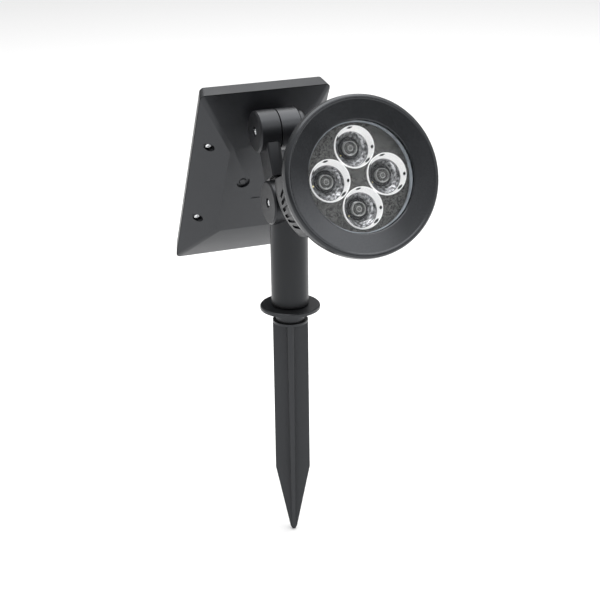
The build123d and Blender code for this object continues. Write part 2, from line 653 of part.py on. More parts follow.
with BuildPart() as mode_button:
    with BuildSketch(PANEL.offset(8.6)) as x1:
        with Locations((BUTTON_X, BUTTON_Y)):
            Circle(2.62)
    extrude(amount=4.0)
    chamfer(mode_button.edges().sort_by(Axis(PANEL_C, (0, -cl, -sl)))[-1], 0.5)
    with BuildSketch(PANEL.offset(9.3)) as x2:
        with Locations((BUTTON_X, BUTTON_Y)):
            Circle(4.0)
    extrude(amount=1.0)
mode_button.part.label = "mode_button"

with BuildPart() as control_board:
    with BuildSketch(PANEL.offset(3.0)) as x3:
        with Locations((-8.0, 4.0)):
            Rectangle(44.0, 22.0)
        with Locations((-26.0, 4.0), (10.0, 4.0)):
            Circle(1.1, mode=Mode.SUBTRACT)
    extrude(amount=1.6)
control_board.part.label = "control_board"

with BuildPart() as tact_switch:
    with BuildSketch(PANEL.offset(4.65)) as x4:
        with Locations((BUTTON_X, BUTTON_Y)):
            Rectangle(6.0, 6.0)
    extrude(amount=1.8)
    with BuildSketch(PANEL.offset(6.0)) as x5:
        with Locations((BUTTON_X, BUTTON_Y)):
            Circle(1.7)
    extrude(amount=1.1)
tact_switch.part.label = "tact_switch"

with BuildPart() as pcb_screws:
    with BuildSketch(PANEL.offset(1.6)) as x6:
        with Locations((-26.0, 4.0), (10.0, 4.0)):
            Circle(1.9)
    extrude(amount=1.35)
    with BuildSketch(PANEL.offset(2.0)) as x7:
        with Locations((-26.0, 4.0), (10.0, 4.0)):
            Circle(0.9)
    extrude(amount=6.5)
pcb_screws.part.label = "pcb_screws"

CELL_R = 7.0
CELL_Y = (-18.5, -34.0)
CELL_Z = 3.9
with BuildPart() as battery_cells:
    for cy in CELL_Y:
        c0 = PANEL.from_local_coords((-21.3, cy, CELL_Z))
        with BuildSketch(Plane(origin=c0, x_dir=PANEL.y_dir, z_dir=(1, 0, 0))):
            Circle(CELL_R)
        extrude(amount=41.6)
        c1 = PANEL.from_local_coords((20.0, cy, CELL_Z))
        with BuildSketch(Plane(origin=c1, x_dir=PANEL.y_dir, z_dir=(1, 0, 0))):
            Circle(2.6)
        extrude(amount=1.6)
battery_cells.part.label = "battery_cells"

with BuildPart() as battery_holder:
    with BuildSketch(PANEL.offset(-3.2)) as bh:
        with Locations((0, (CELL_Y[0] + CELL_Y[1]) / 2)):
            Rectangle(49.0, 33.4)
    extrude(amount=7.0)
    for cy in CELL_Y:
        c2 = PANEL.from_local_coords((-21.9, cy, CELL_Z))
        with BuildSketch(Plane(origin=c2, x_dir=PANEL.y_dir, z_dir=(1, 0, 0))):
            Circle(CELL_R + 0.3)
        extrude(amount=43.8, mode=Mode.SUBTRACT)
battery_holder.part.label = "battery_holder"

# ================================================================== export
PARTS = [ground_spike, spigot_ring, upper_bush, post_tube, lower_knuckle, link_arm, link_screw,
         lower_hinge_bolt, lower_hinge_nut, lower_hinge_washer,
         upper_hinge_bolt, upper_hinge_nut, upper_hinge_washer, hinge_cap,
         head_body, bezel_ring, lens_cover, lens_gasket, led_mask_plate, led_trim_rings,
         led_lenses, led_chips, led_board, heat_spreader, board_screws,
         panel_back_cover, panel_front_frame, panel_gasket, solar_laminate, solar_cell_sheet,
         panel_screws, mode_button, control_board, tact_switch, pcb_screws,
         battery_cells, battery_holder]
for item in PARTS:
    export_step(item.part, "parts/" + item.part.label + ".step")
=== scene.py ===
import math
import bmesh
import bpy
import numpy as np
from mathutils import Matrix, Vector


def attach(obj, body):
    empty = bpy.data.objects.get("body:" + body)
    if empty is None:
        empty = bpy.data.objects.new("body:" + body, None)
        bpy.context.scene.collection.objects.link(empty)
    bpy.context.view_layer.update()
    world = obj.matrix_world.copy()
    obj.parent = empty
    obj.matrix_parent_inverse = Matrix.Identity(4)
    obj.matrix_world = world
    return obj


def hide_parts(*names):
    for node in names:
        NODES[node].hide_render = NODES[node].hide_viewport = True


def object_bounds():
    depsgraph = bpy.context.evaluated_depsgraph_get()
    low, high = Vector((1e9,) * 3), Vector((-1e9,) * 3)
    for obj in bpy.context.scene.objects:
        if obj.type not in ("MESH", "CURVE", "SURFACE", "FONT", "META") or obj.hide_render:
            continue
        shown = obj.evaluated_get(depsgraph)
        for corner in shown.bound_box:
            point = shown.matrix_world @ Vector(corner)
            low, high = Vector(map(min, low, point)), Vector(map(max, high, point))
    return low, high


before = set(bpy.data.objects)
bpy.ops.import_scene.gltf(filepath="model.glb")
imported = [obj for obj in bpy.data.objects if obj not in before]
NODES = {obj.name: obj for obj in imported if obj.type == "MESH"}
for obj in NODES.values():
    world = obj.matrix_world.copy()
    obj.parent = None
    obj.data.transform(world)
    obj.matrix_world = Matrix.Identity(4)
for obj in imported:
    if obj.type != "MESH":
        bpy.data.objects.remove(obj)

CAD_LO, CAD_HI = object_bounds()


# ------------------------------------------------------------------ camera
def make_camera():
    psi, elev, roll = 0.3649, 0.3703, -0.0142
    cz, sz = math.cos(psi), math.sin(psi)
    ce, se = math.cos(elev), math.sin(elev)
    cr, sr = math.cos(roll), math.sin(roll)
    turn = np.array([[cz, -sz, 0], [sz, cz, 0], [0, 0, 1]])
    axes = np.array([[1, 0, 0], [0, 0, -1], [0, 1, 0]], float)
    tip = np.array([[1, 0, 0], [0, ce, -se], [0, se, ce]])
    lean = np.array([[cr, -sr, 0], [sr, cr, 0], [0, 0, 1]])
    r = lean @ tip @ axes @ turn                    # world -> x right, y down, z ahead
    t = np.array([-0.0064343, 0.0027198, 0.9290498])
    c = -r.T @ t
    rows = r.T @ np.diag([1.0, -1.0, -1.0])
    m = Matrix([[*rows[0], c[0]], [*rows[1], c[1]], [*rows[2], c[2] + 0.002], [0, 0, 0, 1]])
    data = bpy.data.cameras.new("camera")
    data.sensor_width = 36.0
    data.lens = 1418.79 / 600.0 * 36.0
    data.clip_start, data.clip_end = 0.05, 50.0
    cam = bpy.data.objects.new("camera", data)
    bpy.context.scene.collection.objects.link(cam)
    cam.matrix_world = m
    bpy.context.scene.camera = cam
    return cam


make_camera()


# --------------------------------------------------------------- materials
def new_mat(name):
    m = bpy.data.materials.new(name)
    m.use_nodes = True
    nt = m.node_tree
    nt.nodes.clear()
    out = nt.nodes.new("ShaderNodeOutputMaterial")
    b = nt.nodes.new("ShaderNodeBsdfPrincipled")
    nt.links.new(b.outputs["BSDF"], out.inputs["Surface"])
    return m, nt, b


def plastic(name, rgb, rough=0.5, grain=0.00022, bump=0.35, vary=0.12, spec=0.5, cloud=0.02, coat=0.0, glow=0.0):
    """Moulded plastic: spark-eroded grain, slow colour drift, uneven gloss."""
    m, nt, b = new_mat(name)
    n = nt.nodes
    co = n.new("ShaderNodeTexCoord")
    fine = n.new("ShaderNodeTexNoise")
    fine.inputs["Scale"].default_value = 1.0 / grain
    fine.inputs["Detail"].default_value = 2.0
    nt.links.new(co.outputs["Object"], fine.inputs["Vector"])
    slow = n.new("ShaderNodeTexNoise")
    slow.inputs["Scale"].default_value = 1.0 / cloud
    slow.inputs["Detail"].default_value = 5.0
    nt.links.new(co.outputs["Object"], slow.inputs["Vector"])
    cr = n.new("ShaderNodeValToRGB")
    lo = [c * (1 - vary) for c in rgb]
    hi = [c * (1 + vary) for c in rgb]
    cr.color_ramp.elements[0].position = 0.32
    cr.color_ramp.elements[0].color = (*lo, 1)
    cr.color_ramp.elements[1].position = 0.68
    cr.color_ramp.elements[1].color = (*hi, 1)
    nt.links.new(slow.outputs["Fac"], cr.inputs["Fac"])
    nt.links.new(cr.outputs["Color"], b.inputs["Base Color"])
    mr = n.new("ShaderNodeMapRange")
    mr.inputs["From Min"].default_value = 0.3
    mr.inputs["From Max"].default_value = 0.7
    mr.inputs["To Min"].default_value = rough - 0.05
    mr.inputs["To Max"].default_value = rough + 0.07
    mixn = n.new("ShaderNodeMath")
    mixn.operation = "ADD"
    sc = n.new("ShaderNodeMath")
    sc.operation = "MULTIPLY"
    sc.inputs[1].default_value = 0.5
    nt.links.new(fine.outputs["Fac"], sc.inputs[0])
    sc2 = n.new("ShaderNodeMath")
    sc2.operation = "MULTIPLY"
    sc2.inputs[1].default_value = 0.5
    nt.links.new(slow.outputs["Fac"], sc2.inputs[0])
    nt.links.new(sc.outputs[0], mixn.inputs[0])
    nt.links.new(sc2.outputs[0], mixn.inputs[1])
    nt.links.new(mixn.outputs[0], mr.inputs["Value"])
    nt.links.new(mr.outputs["Result"], b.inputs["Roughness"])
    bp = n.new("ShaderNodeBump")
    bp.inputs["Strength"].default_value = bump
    bp.inputs["Distance"].default_value = grain * 0.35
    nt.links.new(fine.outputs["Fac"], bp.inputs["Height"])
    nt.links.new(bp.outputs["Normal"], b.inputs["Normal"])
    b.inputs["Specular IOR Level"].default_value = spec
    b.inputs["Coat Weight"].default_value = coat
    b.inputs["Coat Roughness"].default_value = 0.25
    if rgb[0] < 0.05:
        b.inputs["Specular Tint"].default_value = (0.92, 0.95, 1.0, 1)
    # glow adds emission: a painted glow, used on parts that are no lamp
    if glow:
        b.inputs["Emission Color"].default_value = (1, 1, 1, 1)
        b.inputs["Emission Strength"].default_value = glow
    return m


def metal(name, rgb, rough=0.3, scale=900.0, bump=0.1):
    m, nt, b = new_mat(name)
    n = nt.nodes
    co = n.new("ShaderNodeTexCoord")
    fine = n.new("ShaderNodeTexNoise")
    fine.inputs["Scale"].default_value = scale
    fine.inputs["Detail"].default_value = 4.0
    nt.links.new(co.outputs["Object"], fine.inputs["Vector"])
    cr = n.new("ShaderNodeValToRGB")
    cr.color_ramp.elements[0].position = 0.3
    cr.color_ramp.elements[0].color = (*[c * 0.8 for c in rgb], 1)
    cr.color_ramp.elements[1].position = 0.7
    cr.color_ramp.elements[1].color = (*[min(1, c * 1.06) for c in rgb], 1)
    nt.links.new(fine.outputs["Fac"], cr.inputs["Fac"])
    nt.links.new(cr.outputs["Color"], b.inputs["Base Color"])
    mr = n.new("ShaderNodeMapRange")
    mr.inputs["To Min"].default_value = max(0.03, rough - 0.1)
    mr.inputs["To Max"].default_value = rough + 0.1
    nt.links.new(fine.outputs["Fac"], mr.inputs["Value"])
    nt.links.new(mr.outputs["Result"], b.inputs["Roughness"])
    bp = n.new("ShaderNodeBump")
    bp.inputs["Strength"].default_value = bump
    bp.inputs["Distance"].default_value = 0.00005
    nt.links.new(fine.outputs["Fac"], bp.inputs["Height"])
    nt.links.new(bp.outputs["Normal"], b.inputs["Normal"])
    b.inputs["Metallic"].default_value = 1.0
    return m


def clear(name, rgb, rough=0.03, ior=1.49):
    m, nt, b = new_mat(name)
    n = nt.nodes
    co = n.new("ShaderNodeTexCoord")
    fine = n.new("ShaderNodeTexNoise")
    fine.inputs["Scale"].default_value = 120.0
    fine.inputs["Detail"].default_value = 3.0
    nt.links.new(co.outputs["Object"], fine.inputs["Vector"])
    mr = n.new("ShaderNodeMapRange")
    mr.inputs["To Min"].default_value = max(0.0, rough - 0.02)
    mr.inputs["To Max"].default_value = rough + 0.02
    nt.links.new(fine.outputs["Fac"], mr.inputs["Value"])
    nt.links.new(mr.outputs["Result"], b.inputs["Roughness"])
    b.inputs["Base Color"].default_value = (*rgb, 1)
    b.inputs["Transmission Weight"].default_value = 1.0
    b.inputs["IOR"].default_value = ior
    return m


charcoal = plastic("charcoal_abs", (0.0060, 0.0063, 0.0072), rough=0.36, spec=0.42)
cover_mat = plastic("cover_abs", (0.0085, 0.0089, 0.0102), rough=0.32, grain=0.0003)
graphite = plastic("graphite_abs", (0.0100, 0.0104, 0.0114), rough=0.36, grain=0.0003)
post_mat = plastic("post_abs", (0.0050, 0.0052, 0.0056), rough=0.36, bump=0.2, spec=0.40)
bezel_mat = plastic("bezel_abs", (0.0100, 0.0108, 0.0120), rough=0.25, bump=0.14)
rubber = plastic("seal_rubber", (0.02, 0.02, 0.02), rough=0.7)
button_mat = plastic("button_rubber", (0.010, 0.010, 0.011), rough=0.30)
board_white = plastic("board_white", (0.6, 0.6, 0.58), rough=0.35, vary=0.05)
pcb_green = plastic("pcb_green", (0.03, 0.16, 0.06), rough=0.35)
black = plastic("black_abs", (0.012, 0.012, 0.012), rough=0.5)
wrap = plastic("cell_wrap", (0.05, 0.16, 0.42), rough=0.25)
chip = plastic("led_phosphor", (0.85, 0.62, 0.12), rough=0.5, vary=0.08)
# white optic plastic with a faint emission: painted glow on rims that are no lamp
painted_glow_white = plastic("optic_white_painted_glow", (0.95, 0.95, 0.95), rough=0.16, vary=0.02, bump=0.05, glow=0.32)
skirt_mat = plastic("lens_skirt", (0.34, 0.38, 0.42), rough=0.2, vary=0.2, bump=0.1, cloud=0.006)
steel = metal("zinc_steel", (0.82, 0.83, 0.84), rough=0.26)
alu = metal("spreader_alu", (0.66, 0.67, 0.68), rough=0.35)
chrome = metal("ring_chrome", (0.93, 0.93, 0.93), rough=0.12, bump=0.03)
busbar = metal("busbar_tin", (0.75, 0.76, 0.78), rough=0.35)
lam_mat = clear("laminate_clear", (0.93, 0.95, 0.97), rough=0.06)


def glazing(name, rgb, alpha, rough=0.04):
    """Thin clear moulding: mostly see-through, with its own gloss and faint scratches."""
    m, nt, b = new_mat(name)
    n = nt.nodes
    co = n.new("ShaderNodeTexCoord")
    fine = n.new("ShaderNodeTexNoise")
    fine.inputs["Scale"].default_value = 260.0
    fine.inputs["Detail"].default_value = 4.0
    nt.links.new(co.outputs["Object"], fine.inputs["Vector"])
    mr = n.new("ShaderNodeMapRange")
    mr.inputs["To Min"].default_value = max(0.0, rough - 0.03)
    mr.inputs["To Max"].default_value = rough + 0.05
    nt.links.new(fine.outputs["Fac"], mr.inputs["Value"])
    nt.links.new(mr.outputs["Result"], b.inputs["Roughness"])
    b.inputs["Base Color"].default_value = (*rgb, 1)
    b.inputs["Alpha"].default_value = alpha
    return m


lens_mat = glazing("clear_lens", (0.10, 0.105, 0.11), 0.10)
dome_mat = glazing("clear_dome", (0.16, 0.165, 0.16), 0.75, rough=0.08)


def mottled(name, dark, pale):
    """Mask plate seen through the textured underside of the lens: blotches and fine speckle."""
    m, nt, b = new_mat(name)
    n = nt.nodes
    co = n.new("ShaderNodeTexCoord")
    big = n.new("ShaderNodeTexNoise")
    big.inputs["Scale"].default_value = 300.0
    big.inputs["Detail"].default_value = 7.0
    big.inputs["Roughness"].default_value = 0.85
    nt.links.new(co.outputs["Object"], big.inputs["Vector"])
    cell = n.new("ShaderNodeTexVoronoi")
    cell.inputs["Scale"].default_value = 900.0
    nt.links.new(co.outputs["Object"], cell.inputs["Vector"])
    add = n.new("ShaderNodeMath")
    add.operation = "MULTIPLY_ADD"
    add.inputs[1].default_value = 0.45
    nt.links.new(cell.outputs["Distance"], add.inputs[0])
    nt.links.new(big.outputs["Fac"], add.inputs[2])
    cr = n.new("ShaderNodeValToRGB")
    cr.color_ramp.elements[0].position = 0.58
    cr.color_ramp.elements[0].color = (*dark, 1)
    cr.color_ramp.elements[1].position = 0.80
    cr.color_ramp.elements[1].color = (*pale, 1)
    nt.links.new(add.outputs[0], cr.inputs["Fac"])
    nt.links.new(cr.outputs["Color"], b.inputs["Base Color"])
    bp = n.new("ShaderNodeBump")
    bp.inputs["Strength"].default_value = 0.5
    bp.inputs["Distance"].default_value = 0.0002
    nt.links.new(add.outputs[0], bp.inputs["Height"])
    nt.links.new(bp.outputs["Normal"], b.inputs["Normal"])
    b.inputs["Roughness"].default_value = 0.42
    b.inputs["Specular IOR Level"].default_value = 0.28
    return m


frame_mat = plastic("frame_abs", (0.0080, 0.0084, 0.0092), rough=0.40, spec=0.33)
mask_mat = mottled("mask_mottled", (0.006, 0.0065, 0.0065), (0.112, 0.112, 0.108))


def bowl_metal(name, rgb):
    """Vacuum-metallised plastic with fine turned rings and soft waves; the waves swing its colour from dark to bright,
    painted reflection streaks.
    """
    m, nt, b = new_mat(name)
    n = nt.nodes
    co = n.new("ShaderNodeTexCoord")
    wave = n.new("ShaderNodeTexNoise")
    wave.inputs["Scale"].default_value = 520.0
    wave.inputs["Detail"].default_value = 3.0
    nt.links.new(co.outputs["Object"], wave.inputs["Vector"])
    # colour from 0.16 of the tone up to full: painted reflection streaks
    cr = n.new("ShaderNodeValToRGB")
    cr.color_ramp.elements[0].position = 0.35
    cr.color_ramp.elements[0].color = (*[c * 0.16 for c in rgb], 1)
    cr.color_ramp.elements[1].position = 0.65
    cr.color_ramp.elements[1].color = (*rgb, 1)
    nt.links.new(wave.outputs["Fac"], cr.inputs["Fac"])
    nt.links.new(cr.outputs["Color"], b.inputs["Base Color"])
    bp = n.new("ShaderNodeBump")
    bp.inputs["Strength"].default_value = 0.45
    bp.inputs["Distance"].default_value = 0.0004
    nt.links.new(wave.outputs["Fac"], bp.inputs["Height"])
    nt.links.new(bp.outputs["Normal"], b.inputs["Normal"])
    b.inputs["Metallic"].default_value = 1.0
    b.inputs["Roughness"].default_value = 0.12
    return m


bowl_mat = bowl_metal("reflector_metal", (0.86, 0.87, 0.90))
collar_mat = plastic("collar_clear", (0.50, 0.51, 0.50), rough=0.18, vary=0.25, bump=0.1)
# yellow with a faint emission: painted glow for the phosphor's reflection in the bowls
phosphor_reflection_glow = plastic("phosphor_painted_reflection", (0.80, 0.68, 0.20), rough=0.3, vary=0.25, bump=0.1, glow=0.25)


def silicon_mat():
    """Polycrystalline silicon: angular grains in blue and fine silver fingers."""
    m, nt, b = new_mat("cell_silicon")
    n = nt.nodes
    co = n.new("ShaderNodeTexCoord")
    vo = n.new("ShaderNodeTexVoronoi")
    vo.inputs["Scale"].default_value = 260.0
    nt.links.new(co.outputs["Object"], vo.inputs["Vector"])
    cr = n.new("ShaderNodeValToRGB")
    cr.color_ramp.elements[0].position = 0.1
    cr.color_ramp.elements[0].color = (0.006, 0.012, 0.045, 1)
    cr.color_ramp.elements[1].position = 0.9
    cr.color_ramp.elements[1].color = (0.014, 0.030, 0.11, 1)
    sep = n.new("ShaderNodeSeparateColor")
    nt.links.new(vo.outputs["Color"], sep.inputs[0])
    nt.links.new(sep.outputs[0], cr.inputs["Fac"])
    px = n.new("ShaderNodeSeparateXYZ")
    nt.links.new(co.outputs["Object"], px.inputs[0])
    k = n.new("ShaderNodeMath")
    k.operation = "MULTIPLY"
    k.inputs[1].default_value = 1.0 / 0.0016
    nt.links.new(px.outputs["X"], k.inputs[0])
    fr = n.new("ShaderNodeMath")
    fr.operation = "FRACT"
    nt.links.new(k.outputs[0], fr.inputs[0])
    lt = n.new("ShaderNodeMath")
    lt.operation = "LESS_THAN"
    lt.inputs[1].default_value = 0.10
    nt.links.new(fr.outputs[0], lt.inputs[0])
    mx = n.new("ShaderNodeMixRGB")
    mx.inputs["Color2"].default_value = (0.30, 0.31, 0.33, 1)
    nt.links.new(lt.outputs[0], mx.inputs["Fac"])
    nt.links.new(cr.outputs["Color"], mx.inputs["Color1"])
    nt.links.new(mx.outputs["Color"], b.inputs["Base Color"])
    b.inputs["Roughness"].default_value = 0.28
    return m


silicon = silicon_mat()

BY_NODE = {
    "ground_spike": graphite, "spigot_ring": rubber, "upper_bush": black, "post_tube": post_mat,
    "lower_knuckle": charcoal, "link_arm": charcoal, "link_screw": steel, "lower_hinge_bolt": steel,
    "lower_hinge_nut": steel, "lower_hinge_washer": rubber, "upper_hinge_bolt": steel,
    "upper_hinge_nut": steel, "upper_hinge_washer": rubber, "hinge_cap": charcoal, "head_body": charcoal,
    "bezel_ring": bezel_mat, "lens_cover": lens_mat, "lens_gasket": rubber, "led_mask_plate": mask_mat,
    "led_trim_rings": painted_glow_white, "led_lenses": bowl_mat, "led_chips": chip, "led_board": board_white,
    "heat_spreader": alu, "board_screws": steel, "panel_back_cover": cover_mat, "panel_front_frame": cover_mat,
    "panel_gasket": rubber, "solar_laminate": lam_mat, "solar_cell_sheet": silicon, "panel_screws": steel,
    "mode_button": button_mat, "control_board": pcb_green, "tact_switch": black, "pcb_screws": steel,
    "battery_cells": wrap, "battery_holder": black,
}
for name, obj in NODES.items():
    obj.data.materials.clear()
    obj.data.materials.append(BY_NODE[name])


# ------------------------------------------------------------- mesh helpers
MM = 0.001
HEAD_C = Vector((28.4, -55.3, 100.6)) * MM
PITCH = math.radians(21.3)
CP, SP = math.cos(PITCH), math.sin(PITCH)
PANEL_C = Vector((0.5, 75.15, 70.4)) * MM
LEAN = math.radians(29.3)
CL, SL = math.cos(LEAN), math.sin(LEAN)


def head_pt(x, u, t):
    """x right, u up the lens, t behind the rim plane, in mm."""
    return HEAD_C + Vector((x, u * SP + t * CP, u * CP - t * SP)) * MM


def panel_pt(x, u, o):
    """x right, u up the panel, o out of the back cover, in mm."""
    return PANEL_C + Vector((x, -SL * u - CL * o, CL * u - SL * o)) * MM


def finish_mesh(name, bm, mat, body, angle=32.0, nodes=(), weighted=False):
    bmesh.ops.recalc_face_normals(bm, faces=bm.faces)
    me = bpy.data.meshes.new(name)
    bm.to_mesh(me)
    bm.free()
    for p in me.polygons:
        p.use_smooth = True
    me.set_sharp_from_angle(angle=math.radians(angle))
    me.materials.append(mat)
    o = bpy.data.objects.new(name, me)
    bpy.context.scene.collection.objects.link(o)
    if weighted:
        wn = o.modifiers.new("even_faces", "WEIGHTED_NORMAL")
        wn.mode = "FACE_AREA"
        wn.weight = 90
        wn.keep_sharp = True
    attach(o, body)
    if nodes:
        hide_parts(*nodes)
    return o


def rounded(pts, radii, steps=5):
    """A closed outline with its corners rounded: (a, b) points, one radius for each."""
    out = []
    n = len(pts)
    for i, (p, r) in enumerate(zip(pts, radii)):
        p = Vector(p)
        if r <= 0:
            out.append(tuple(p))
            continue
        a = (Vector(pts[i - 1]) - p)
        c = (Vector(pts[(i + 1) % n]) - p)
        la, lc = a.length, c.length
        a.normalize()
        c.normalize()
        half = a.angle(c) / 2
        d = min(r / math.tan(half), la * 0.48, lc * 0.48)
        r2 = d * math.tan(half)
        mid = p + (a + c).normalized() * (r2 / math.sin(half))
        s, e = p + a * d - mid, p + c * d - mid
        tot = s.angle_signed(e)
        for k in range(steps + 1):
            w = tot * k / steps
            # angle_signed is clockwise positive
            cs, sn = math.cos(-w), math.sin(-w)
            out.append((mid.x + s.x * cs - s.y * sn, mid.y + s.x * sn + s.y * cs))
    return out


def lathe(bm, prof, place, n=128, closed=True):
    """Turns a profile of (radius, depth) about the local axis; place(x, u, t) gives the world point."""
    rings = []
    for r, t in prof:
        if r < 1e-6:
            rings.append([bm.verts.new(place(0, 0, t))])
        else:
            rings.append([bm.verts.new(place(r * math.cos(2 * math.pi * i / n), r * math.sin(2 * math.pi * i / n), t))
                          for i in range(n)])
    pairs = list(zip(rings, rings[1:] + rings[:1])) if closed else list(zip(rings, rings[1:]))
    for a, b in pairs:
        if len(a) == 1 and len(b) == 1:
            continue
        for i in range(n):
            j = (i + 1) % n
            if len(a) == 1:
                bm.faces.new((a[0], b[j], b[i]))
            elif len(b) == 1:
                bm.faces.new((a[i], a[j], b[0]))
            else:
                bm.faces.new((a[i], a[j], b[j], b[i]))


def soft_copy(node, mat, body, width, seg=2, angle=28.0, flat=1.2):
    """The CAD node's own shape with its sharp edges eased, as a moulding has."""
    src = NODES[node]
    bm = bmesh.new()
    bm.from_mesh(src.data)
    bmesh.ops.remove_doubles(bm, verts=bm.verts, dist=1e-6)
    bmesh.ops.dissolve_degenerate(bm, dist=1e-6, edges=bm.edges)
    bmesh.ops.dissolve_limit(bm, angle_limit=math.radians(flat), verts=bm.verts, edges=bm.edges,
                             use_dissolve_boundaries=False)
    sharp = [e for e in bm.edges if len(e.link_faces) == 2 and e.calc_face_angle(0) > math.radians(angle)]
    bmesh.ops.bevel(bm, geom=sharp, offset=width * MM, offset_type="OFFSET", segments=seg, profile=0.5,
                    affect="EDGES", clamp_overlap=True)
    return finish_mesh("soft_" + node, bm, mat, body, angle=30.0, nodes=(node,), weighted=True)


# --------------------------------------------------------------- lamp head
# flared ring: rolled rim, shallow cone, step and glossy well wall
bm = bmesh.new()
outline = [(50.34, 4.9), (50.05, 7.6), (48.6, 10.0), (44.9, 10.0), (44.9, 10.85), (35.6, 10.85), (35.2, 10.7),
           (34.6, 3.6), (35.2, 3.15), (46.7, 0.62), (47.3, 0.15), (48.6, 0.06), (49.9, 1.35)]
radii = [1.6, 0.8, 0.4, 0.2, 0.2, 0.1, 0.1, 0.35, 0.35, 0.5, 0.6, 1.0, 1.4]
lathe(bm, rounded(outline, radii, 4), head_pt, n=192)
bezel = finish_mesh("bezel_flare", bm, bezel_mat, "lamp_head", angle=50, nodes=("bezel_ring",))

# clear cover let into the ring
bm = bmesh.new()
lathe(bm, rounded([(0, 4.5), (33.9, 4.5), (34.4, 4.9), (34.4, 5.9), (0, 5.9)], [0, 0.3, 0.2, 0.2, 0], 3), head_pt, n=160,
      closed=False)
lens = finish_mesh("lens_disc", bm, lens_mat, "lamp_head", nodes=("lens_cover",))

DEEP = 2.8
bm = bmesh.new()
lathe(bm, rounded([(34.45, 5.95), (34.45, 9.6), (33.75, 9.6), (33.75, 5.95)], [0.15, 0.15, 0.2, 0.2], 3), head_pt, n=160)
skirt = finish_mesh("lens_skirt", bm, skirt_mat, "lamp_head", angle=50)

LEDS = [(18.8, 0.0), (0.0, 18.8), (-18.8, 0.0), (0.0, -18.8)]


def led_pt(cx, cy):
    """Lens frame: set a touch off the nominal centre; the throat leans down as it deepens."""
    def place(x, u, t):
        if t < 7.0:
            k = 0.0
        elif t < 11.3:
            k = (t - 7.0) / 4.3
        else:
            k = max(0.0, 1.0 - (t - 11.3) / 3.2)
        return head_pt(cx + 0.55 + x - 0.5 * k, cy + 0.3 + u - 1.15 * k, t + DEEP)
    return place


bm = bmesh.new()
for cx, cy in LEDS:
    # rolled bright rim and the pale throat behind it; their white material glows faintly, a painted glow
    prof = [(13.1, 7.5), (13.05, 7.1), (12.85, 6.9), (12.6, 6.95), (12.45, 7.3), (12.2, 8.2), (11.4, 10.2),
            (10.95, 11.3), (11.1, 11.6), (11.7, 10.2), (12.4, 8.5), (13.1, 8.1)]
    lathe(bm, prof, led_pt(cx, cy), n=96)
rims = finish_mesh("optic_rims", bm, painted_glow_white, "lamp_head", angle=60, nodes=("led_trim_rings",))

bm = bmesh.new()
for cx, cy in LEDS:
    # stepped reflector bowl under the throat
    prof = [(10.95, 11.25)]
    for i in range(1, 13):
        f = i / 13.0
        r = 10.9 - 5.6 * f
        t = 11.3 + 5.6 * (1 - (1 - f) ** 1.7)
        prof.append((r + 0.12, t - 0.06))
        prof.append((r - 0.10, t + 0.10))
    prof += [(5.2, 17.0), (4.8, 17.4), (0.0, 17.4), (0.0, 17.9), (5.6, 17.9), (11.1, 12.0)]
    lathe(bm, prof, led_pt(cx, cy), n=96)
bowls = finish_mesh("optic_bowls", bm, bowl_mat, "lamp_head", angle=24, nodes=("led_lenses",))

bm = bmesh.new()
for cx, cy in LEDS:
    # collar round the diode
    prof = rounded([(4.5, 17.2), (4.45, 13.7), (4.1, 13.7), (4.0, 14.6), (4.0, 17.2)], [0, 0.12, 0.12, 0.3, 0], 4)
    lathe(bm, prof, led_pt(cx, cy), n=64)
    # inner ring round the die
    lathe(bm, [(1.75, 14.3), (1.72, 13.7), (1.58, 13.6), (1.42, 13.7), (1.4, 14.3)], led_pt(cx, cy), n=48)
collars = finish_mesh("diode_collars", bm, collar_mat, "lamp_head", angle=60)

bm = bmesh.new()
for cx, cy in LEDS:
    # black ring on the floor of the bowl round the collar: painted shade, the shadow round the collar
    lathe(bm, [(6.5, 16.15), (6.3, 16.05), (5.8, 16.35), (5.3, 16.6), (4.75, 16.75), (4.7, 17.3), (5.4, 17.2), (6.2, 16.8)],
          led_pt(cx, cy), n=72)
collar_shade_rings = finish_mesh("bowl_floor_painted_shade", bm, black, "lamp_head", angle=50)

# yellow specks at the same lower-left spot in every bowl, just in front of its surface: a painted reflection of the
# diode's phosphor, which also glows
bm = bmesh.new()
for (cx, cy), (a, b_, size) in zip(LEDS, ((-7.6, -3.4, 0.35), (-7.2, -3.8, 0.4), (-9.2, -1.6, 0.75), (-7.4, -3.4, 0.4))):
    put = led_pt(cx, cy)
    lathe(bm, [(0, 13.0), (0.55 * size, 13.06), (size, 13.3), (1.05 * size, 13.7), (0, 13.9)],
          lambda x, u, t, put=put, a=a, b_=b_: put(a + x, b_ + 0.7 * u, t), n=24, closed=False)
phosphor_reflection_dots = finish_mesh("phosphor_painted_reflections", bm, phosphor_reflection_glow, "lamp_head", angle=50)

bm = bmesh.new()
for cx, cy in LEDS:
    prof = [(0.0, 13.6)]
    for i in range(1, 9):
        a = math.pi / 2 * i / 8
        prof.append((3.2 * math.sin(a), 13.6 + 2.6 * (1 - math.cos(a))))
    prof += [(3.5, 16.4), (3.5, 17.0), (0.0, 17.0)]
    lathe(bm, prof, led_pt(cx, cy), n=64, closed=False)
domes = finish_mesh("diode_domes", bm, dome_mat, "lamp_head", angle=50)

